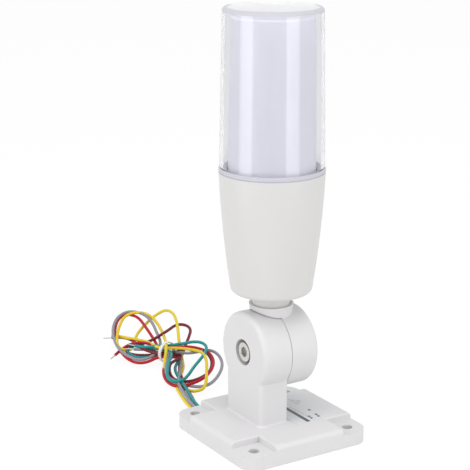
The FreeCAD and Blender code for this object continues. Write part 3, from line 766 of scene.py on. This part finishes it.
# Where the wires pass the tie, in millimetres and degrees: strands lie in a spiral about the
# tie's middle, so that each keeps its own place in the bunch.
TIE_MIDDLE = Vector((2.2, 116.4, 8.0))
TIE_TURN = -32.1
STRANDS = 15
STRAND_TURN = 137.5
BUNCH_RADIUS = 4.1


def in_tie(strand: int, along: float) -> Vector:
    """Return where a strand passes the tie.

    Args:
        strand: The strand's number, 0 at the middle, outwards in a spiral.
        along: Distance along the tie's axis from its middle, in millimetres.

    Returns:
        The point, in millimetres.
    """
    radius = BUNCH_RADIUS * math.sqrt((strand + 0.5) / STRANDS)
    angle = math.radians(STRAND_TURN * strand)
    turn = math.radians(TIE_TURN)
    ahead = Vector((math.cos(turn), math.sin(turn), 0.0))
    aside = Vector((-math.sin(turn), math.cos(turn), 0.0))
    return TIE_MIDDLE + ahead * along + aside * radius * math.cos(angle) + UP * radius * math.sin(angle)


@dataclass(frozen=True)
class Lead:
    """One lead-out wire, in millimetres, and its length in metres.

    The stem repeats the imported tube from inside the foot.  The hank is its way up to the loops,
    round the far and the near lobe, through the tie and out to its bare end.
    """

    name: str
    finish: Finish
    stem: Sequence[Point]
    hank: Sequence[Point | Vector]
    length: float

    def route(self) -> list[Vector]:
        """Return the wire's control points from inside the foot to its bare end, in metres."""
        return [Vector(point) * MM for point in (*self.stem, *self.hank)]


LEADS = (
    Lead("lead_yellow", Finish.YELLOW,
         ((-20.5, 32.6, 1.3), (-20.5, 42.4, 1.3), (-18.9, 52.8, 1.3), (-16.4, 63.2, 1.6),
          (-12.4, 78.6, 3.1)),
         ((3.5, 95.5, 3.5), (8.5, 106.0, 5.0), (11.5, 113.5, 8.5), (14.0, 119.5, 13.0),
          (19.5, 130.5, 17.5), (24.5, 143.0, 20.0), (25.5, 154.5, 19.5), (21.0, 161.0, 14.5),
          (9.0, 154.0, 11.5), (0.5, 147.5, 9.5), (-6.5, 137.5, 7.0), (-11.0, 134.0, 6.0),
          (-15.5, 135.0, 7.0), (-16.5, 140.0, 8.5), (-13.0, 146.5, 11.0), (-7.0, 155.5, 13.5),
          (1.5, 164.5, 16.5), (9.5, 165.0, 17.5), (15.0, 160.5, 17.0), (15.5, 150.5, 15.5),
          (12.0, 135.5, 13.0), (3.5, 116.0, 13.5), (-3.0, 104.5, 13.0), (-8.0, 97.5, 10.5),
          (-11.0, 93.0, 7.0), (-14.0, 85.5, 4.0), (-11.5, 77.5, 2.5), (-10.0, 72.0, 2.5),
          (-9.0, 67.0, 2.5), (-7.0, 64.0, 3.0), (-3.5, 62.5, 4.0), (0.0, 65.0, 5.5), (5.5, 73.5, 8.5),
          (12.5, 85.0, 11.0), (15.0, 94.0, 12.5), (11.5, 99.0, 13.0), (8.5, 105.0, 12.5),
          in_tie(14, 4.2), in_tie(14, -3.5), (-0.5, 130.0, 10.5), (-5.0, 136.5, 11.0),
          (-8.0, 144.0, 10.5), (-10.5, 150.5, 10.0)),
         0.453),
    Lead("lead_brown", Finish.BROWN,
         ((-18.5, 32.6, 1.3), (-18.5, 42.4, 1.3), (-16.6, 52.8, 1.3), (-13.6, 63.2, 1.6),
          (-10.4, 76.6, 2.9)),
         ((1.5, 97.5, 3.0), (7.5, 107.0, 4.5), (13.0, 112.5, 7.5), (18.0, 117.0, 11.0),
          (21.0, 119.5, 13.0), (25.0, 124.0, 15.0), (26.0, 129.0, 16.0), (23.5, 133.0, 16.5),
          (19.0, 133.0, 16.5), (13.0, 130.0, 15.5), (7.5, 129.0, 14.0), (4.0, 132.5, 10.5),
          (-2.5, 134.0, 8.5), (-8.0, 137.0, 7.5), (-12.5, 136.0, 6.5), (-14.0, 132.5, 6.0),
          (-12.5, 128.5, 5.5), (-7.5, 125.0, 5.0), in_tie(2, -3.5), in_tie(2, 3.5), (11.0, 111.0, 9.5),
          (16.5, 106.0, 11.5), (20.0, 98.5, 10.5), (18.5, 88.5, 8.5), (11.5, 79.0, 6.0),
          (2.5, 76.0, 4.5), (-4.5, 77.5, 3.5), (-9.5, 82.0, 3.5), (-9.5, 89.5, 5.0), (-4.5, 98.5, 7.5),
          (0.5, 100.5, 8.0), (5.0, 103.0, 8.0), (8.0, 106.0, 8.0), (7.0, 110.0, 7.5), in_tie(4, 3.5),
          in_tie(4, -3.5), (-5.5, 121.5, 8.5), (-7.5, 128.0, 9.0), (-6.0, 140.0, 10.0),
          (-9.0, 149.5, 9.5), (-13.5, 152.5, 9.0)),
         0.341),
    Lead("lead_red", Finish.RED,
         ((-16.5, 32.6, 1.3), (-16.5, 42.4, 1.3), (-14.3, 52.8, 1.3), (-10.8, 63.2, 1.6),
          (-8.4, 73.0, 2.6)),
         ((1.0, 97.5, 3.5), (6.0, 103.0, 5.0), (8.0, 106.5, 5.5), (7.0, 109.5, 6.0), in_tie(12, 3.5),
          in_tie(12, -3.5), (-7.5, 116.5, 4.0), (-12.5, 119.0, 3.0), (-16.0, 124.0, 3.5),
          (-17.0, 133.0, 5.5), (-15.0, 144.5, 8.5), (-10.0, 155.5, 11.5), (-3.0, 165.0, 14.5),
          (3.0, 168.0, 16.0), (7.0, 166.0, 16.0), (9.0, 159.5, 15.5), (7.5, 148.0, 13.0),
          (5.5, 136.0, 10.5), (3.5, 127.5, 9.0), in_tie(8, -3.5), in_tie(7, 3.5), (0.0, 105.5, 7.0),
          (-6.0, 99.0, 8.0), (-11.0, 94.0, 7.5), (-15.0, 86.0, 5.5), (-15.5, 79.0, 4.0),
          (-13.0, 74.0, 3.5), (-6.5, 72.5, 4.0), (2.0, 73.0, 5.0), (10.0, 76.5, 7.0),
          (17.0, 84.0, 9.0), (20.0, 93.5, 11.0), (17.5, 101.0, 12.0), (13.0, 106.0, 12.5),
          (7.0, 109.0, 12.5), in_tie(6, 3.5), in_tie(6, -3.5), (-1.5, 129.0, 10.5),
          (-7.0, 133.0, 10.5), (-11.0, 136.0, 9.0), (-15.5, 137.5, 6.0), (-20.5, 134.5, 5.0)),
         0.378),
    Lead("lead_grey", Finish.GREY,
         ((-19.5, 32.6, 2.9), (-19.5, 42.4, 2.9), (-17.8, 52.8, 2.9), (-15.0, 63.2, 3.3),
          (-11.6, 77.4, 5.0)),
         ((0.0, 93.0, 5.0), (7.5, 106.0, 6.5), (9.5, 110.0, 7.0), (9.0, 113.0, 7.5), in_tie(0, 3.5),
          in_tie(0, -3.5), (-6.5, 118.0, 5.5), (-12.5, 120.5, 4.5), (-16.0, 127.0, 5.5),
          (-17.5, 136.0, 7.5), (-15.0, 147.5, 10.5), (-9.5, 158.5, 13.5), (-2.0, 166.5, 16.0),
          (5.0, 168.5, 17.5), (10.5, 165.5, 17.5), (13.5, 159.0, 16.5), (13.0, 149.5, 14.5),
          (9.5, 138.0, 12.0), (6.5, 127.5, 10.0), in_tie(13, -3.5), in_tie(9, 3.5), (-5.0, 99.5, 11.0),
          (-10.0, 93.0, 8.5), (-13.5, 86.0, 6.0), (-11.5, 81.0, 4.5), (-7.5, 75.5, 3.0),
          (-3.0, 68.5, 3.0), (3.0, 66.0, 4.0), (11.5, 70.5, 6.0), (19.5, 78.5, 8.5),
          (23.5, 89.0, 10.5), (22.5, 97.5, 11.5), (15.5, 99.0, 11.0), (8.5, 100.0, 11.0),
          (7.5, 106.5, 10.0), in_tie(5, 3.5), in_tie(5, -3.5), (-3.0, 125.0, 8.0), (-7.5, 127.5, 8.0),
          (-10.5, 130.0, 8.0)),
         0.383),
    Lead("lead_green", Finish.GREEN,
         ((-17.5, 32.6, 2.9), (-17.5, 42.4, 2.9), (-15.4, 52.8, 2.9), (-12.2, 63.2, 3.3),
          (-9.9, 73.4, 4.6)),
         ((-4.5, 93.0, 5.5), (2.0, 101.0, 6.0), (8.5, 107.0, 6.0), (10.5, 110.5, 5.5),
          (9.5, 113.5, 5.0), in_tie(10, 3.5), in_tie(10, -3.5), (-5.0, 121.5, 4.5),
          (-10.0, 123.5, 4.5), (-13.0, 127.0, 5.0), (-14.0, 132.0, 6.0), (-11.5, 135.5, 7.0),
          (-7.5, 136.0, 8.0), (-4.5, 132.0, 8.5), (-4.5, 127.0, 9.0), (-3.0, 122.5, 9.5),
          in_tie(3, -3.5), in_tie(1, 3.5), (-1.5, 100.5, 12.0), (-6.5, 95.5, 10.5), (-11.5, 88.5, 8.5),
          (-14.5, 83.0, 6.5), (-15.0, 79.0, 6.0), (-12.0, 76.0, 5.5), (-8.0, 76.0, 6.0),
          (-3.0, 79.0, 7.0), (2.5, 83.0, 9.0), (9.0, 87.5, 10.5), (14.5, 91.0, 12.0),
          (20.5, 97.5, 13.5), (20.5, 104.0, 14.5), (16.0, 107.5, 14.5), (11.5, 108.5, 14.0),
          (8.5, 112.0, 13.0), in_tie(11, 3.5), in_tie(11, -3.5), (-4.0, 122.5, 10.5),
          (-7.0, 127.0, 9.5), (-9.0, 131.0, 9.5)),
         0.285),
)


@dataclass
class LeadOutWires:
    """The five wires, their tinned ends and the tie, with its slant in degrees."""

    diameter: float = 1.8 * MM
    smoothness: int = 6
    core: float = 0.95 * MM
    core_taper: float = 1.3
    bared: float = 5.0 * MM
    sunk: float = 1.0 * MM
    way_out: Point = (-18.5 * MM, 37.0 * MM, 2.0 * MM)
    tie_radius: float = 5.5 * MM
    tie_width: float = 2.2 * MM
    tie_thickness: float = 0.9 * MM
    tie_edge: float = 0.3 * MM
    tie_slant: float = -42.0
    tie_along: float = 1.6 * MM

    def lay(self, lead: Lead) -> bpy.types.Object:
        """Lay one wire along its route as a smooth curve.

        Args:
            lead: The wire.

        Returns:
            The wire's curve.
        """
        route = lead.route()
        curve = bpy.data.curves.new(lead.name, "CURVE")
        curve.dimensions = "3D"
        spline = curve.splines.new("NURBS")
        spline.points.add(len(route) - 1)
        for spot, point in zip(spline.points, route):
            spot.co = (*point, 1.0)
        spline.order_u = 3
        spline.use_endpoint_u = True
        spline.resolution_u = self.smoothness
        curve.bevel_depth = self.diameter / 2
        curve.bevel_resolution = 4
        curve.use_fill_caps = True
        curve.materials.append(lead.finish.material())
        piece = place_object(lead.name, curve)
        solid = lead.name.replace("lead", "wire")
        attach(piece, Body.FOOT.value)
        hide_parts(solid, "wire_hank")
        heading = (route[-1] - route[-2]).normalized()
        core = self.bare_end(lead.name.replace("lead", "core"), route[-1], heading)
        LOG.info("laid %s with %d points", lead.name, len(route))
        return piece

    def bare_end(self, name: str, start: Vector, heading: Vector) -> bpy.types.Object:
        """Model the tinned strands at a wire's bare end.

        Args:
            name: The piece's name.
            start: Where the insulation ends.
            heading: Direction of the wire there.

        Returns:
            The piece.
        """
        shape = bmesh.new()
        bmesh.ops.create_cone(shape, segments=14, radius1=self.core / 2,
                              radius2=self.core / 2 / self.core_taper,
                              depth=self.bared + self.sunk, cap_ends=True)
        lift = Matrix.Translation(start + heading * (self.bared - self.sunk) / 2)
        turn = heading.to_track_quat("Z", "Y").to_matrix().to_4x4()
        bmesh.ops.transform(shape, matrix=lift @ turn, verts=shape.verts)
        return add_piece(name, shape, [Finish.TINNED], Body.FOOT)

    def build_tie(self) -> bpy.types.Object:
        """Model the white tie as a soft-edged band round the hank's waist.

        Returns:
            The tie.
        """
        half, edge = self.tie_width / 2, self.tie_edge
        inner, outer = self.tie_radius, self.tie_radius + self.tie_thickness
        profile = rounded([
            (inner, 0.0, 0.0), (inner, half, edge), (outer, half, edge), (outer, -half, edge),
            (inner, -half, edge), (inner, -0.1 * MM, 0.0)], steps=4)
        shape = turned(profile, Vector((0.0, 0.0, 0.0)), segments=72)
        turn = Euler((0.0, math.radians(90), math.radians(TIE_TURN + self.tie_slant)))
        ahead = Matrix.Rotation(math.radians(TIE_TURN), 3, "Z") @ Vector((self.tie_along, 0.0, 0.0))
        place = Matrix.Translation(TIE_MIDDLE * MM + ahead) @ turn.to_matrix().to_4x4()
        bmesh.ops.transform(shape, matrix=place, verts=shape.verts)
        return add_piece("tie_band", shape, [Finish.TIE], Body.FOOT, ["wire_tie"])

    def build(self) -> None:
        """Lay every wire and fit the tie."""
        for lead in LEADS:
            self.lay(lead)
        self.build_tie()


# ---------------------------------------------------------------- studio

@dataclass
class Studio:
    """White floor, soft light and the camera."""

    camera_place: Point = (-0.39441, -0.59414, 0.30643)
    camera_heading: Point = (0.51173, 0.81585, -0.26930)
    lens: float = 112.84
    sensor: float = 36.0
    floor_half: float = 9.0
    floor_colour: Colour = (0.86, 0.86, 0.86)
    floor_glow: float = 0.86
    glow_strength: float = 1.05
    ambient: float = 0.62
    aim: Point = (0.0, 0.0, 0.11)
    softboxes: Sequence[tuple[str, float, float]] = (("softbox_left", -62.0, 0.74),
                                                     ("softbox_right", 44.0, 0.66))
    softbox_reach: float = 0.42
    softbox_lift: float = 0.13
    softbox_size: tuple[float, float] = (0.23, 0.48)
    top_height: float = 1.1
    top_ahead: float = 0.3
    top_size: tuple[float, float] = (0.9, 0.9)
    top_watts: float = 5.0

    def build_camera(self) -> None:
        """Place the camera."""
        data = bpy.data.cameras.new("camera")
        data.lens, data.sensor_width = self.lens, self.sensor
        data.clip_start, data.clip_end = 0.01, 50.0
        camera = place_object("camera", data)
        camera.location = self.camera_place
        camera.rotation_mode = "QUATERNION"
        camera.rotation_quaternion = Vector(self.camera_heading).to_track_quat("-Z", "Y")
        bpy.context.scene.camera = camera

    def build_floor(self) -> None:
        """Lay a white floor that keeps soft shadows."""
        shape = bmesh.new()
        bmesh.ops.create_grid(shape, x_segments=2, y_segments=2, size=self.floor_half)
        mesh = bpy.data.meshes.new("floor")
        shape.to_mesh(mesh)
        shape.free()
        material, tree, shader = blank_material("floor_white")
        shader.inputs["Base Color"].default_value = (*self.floor_colour, 1.0)
        shader.inputs["Roughness"].default_value = 0.9
        shader.inputs["Specular IOR Level"].default_value = 0.0
        glow = node(tree, "ShaderNodeEmission", Color=(1.0, 1.0, 1.0, 1.0), Strength=self.glow_strength)
        share = maths(tree, "MULTIPLY", self.seen_directly(tree), self.floor_glow)
        mix_shaders(tree, share, glow.outputs[0])
        mesh.materials.append(material)
        place_object("floor", mesh)

    @staticmethod
    def seen_directly(tree: bpy.types.NodeTree) -> Socket:
        """Pick out the rays that show the background: seen, mirrored or through clear plastic.

        Args:
            tree: The node tree to add to.

        Returns:
            The mask's socket, 1 for those rays.
        """
        path = tree.nodes.new("ShaderNodeLightPath").outputs
        seen = maths(tree, "MAXIMUM", path["Is Camera Ray"], path["Is Glossy Ray"])
        return maths(tree, "MAXIMUM", seen, path["Is Transmission Ray"])

    def build_world(self) -> None:
        """Light the scene evenly from a white surround."""
        world = bpy.data.worlds.new("surround")
        bpy.context.scene.world = world
        world.use_nodes = True
        tree = world.node_tree
        background = tree.nodes["Background"]
        background.inputs["Color"].default_value = (1.0, 1.0, 1.0, 1.0)
        seen = self.seen_directly(tree)
        strength = maths(tree, "MULTIPLY_ADD", seen, 1.0 - self.ambient, self.ambient)
        tree.links.new(strength, background.inputs["Strength"])

    def add_softbox(self, name: str, place: Vector, target: Vector, size: tuple[float, float],
                    watts: float) -> None:
        """Hang a soft area light.

        Args:
            name: The light's name.
            place: Where it hangs.
            target: What it points at.
            size: Its width and height.
            watts: Its power.
        """
        data = bpy.data.lights.new(name, "AREA")
        data.shape, data.energy = "RECTANGLE", watts
        data.size, data.size_y = size
        light = place_object(name, data)
        light.location = place
        light.rotation_mode = "QUATERNION"
        light.rotation_quaternion = (target - place).to_track_quat("-Z", "Y")
        light.visible_camera = False

    def build_lights(self) -> None:
        """Hang two softboxes beside the lamp, turned in degrees from the camera, and one above it."""
        middle = Vector(self.aim)
        heading = Vector((self.camera_heading[0], self.camera_heading[1], 0.0)).normalized()
        side = Vector((heading.y, -heading.x, 0.0))
        target = middle + UP * self.softbox_lift
        for name, turn, watts in self.softboxes:
            angle = math.radians(turn)
            outwards = -heading * math.cos(angle) + side * math.sin(angle)
            self.add_softbox(name, target + outwards * self.softbox_reach, target, self.softbox_size, watts)
        above = middle + UP * self.top_height - heading * self.top_ahead
        self.add_softbox("softbox_top", above, middle, self.top_size, self.top_watts)

    def build(self) -> None:
        """Set up the camera, the floor and the lights."""
        self.build_camera()
        self.build_floor()
        self.build_world()
        self.build_lights()
        bpy.context.scene.view_settings.view_transform = "Standard"


def main() -> None:
    """Build every sub-assembly, then the studio."""
    logging.basicConfig(level=logging.INFO, format="%(name)s: %(message)s")
    for assembly in (Foot(), LampHead(), LightEngine(), LeadOutWires(), Studio()):
        assembly.build()


if __name__ == "__main__":
    main()
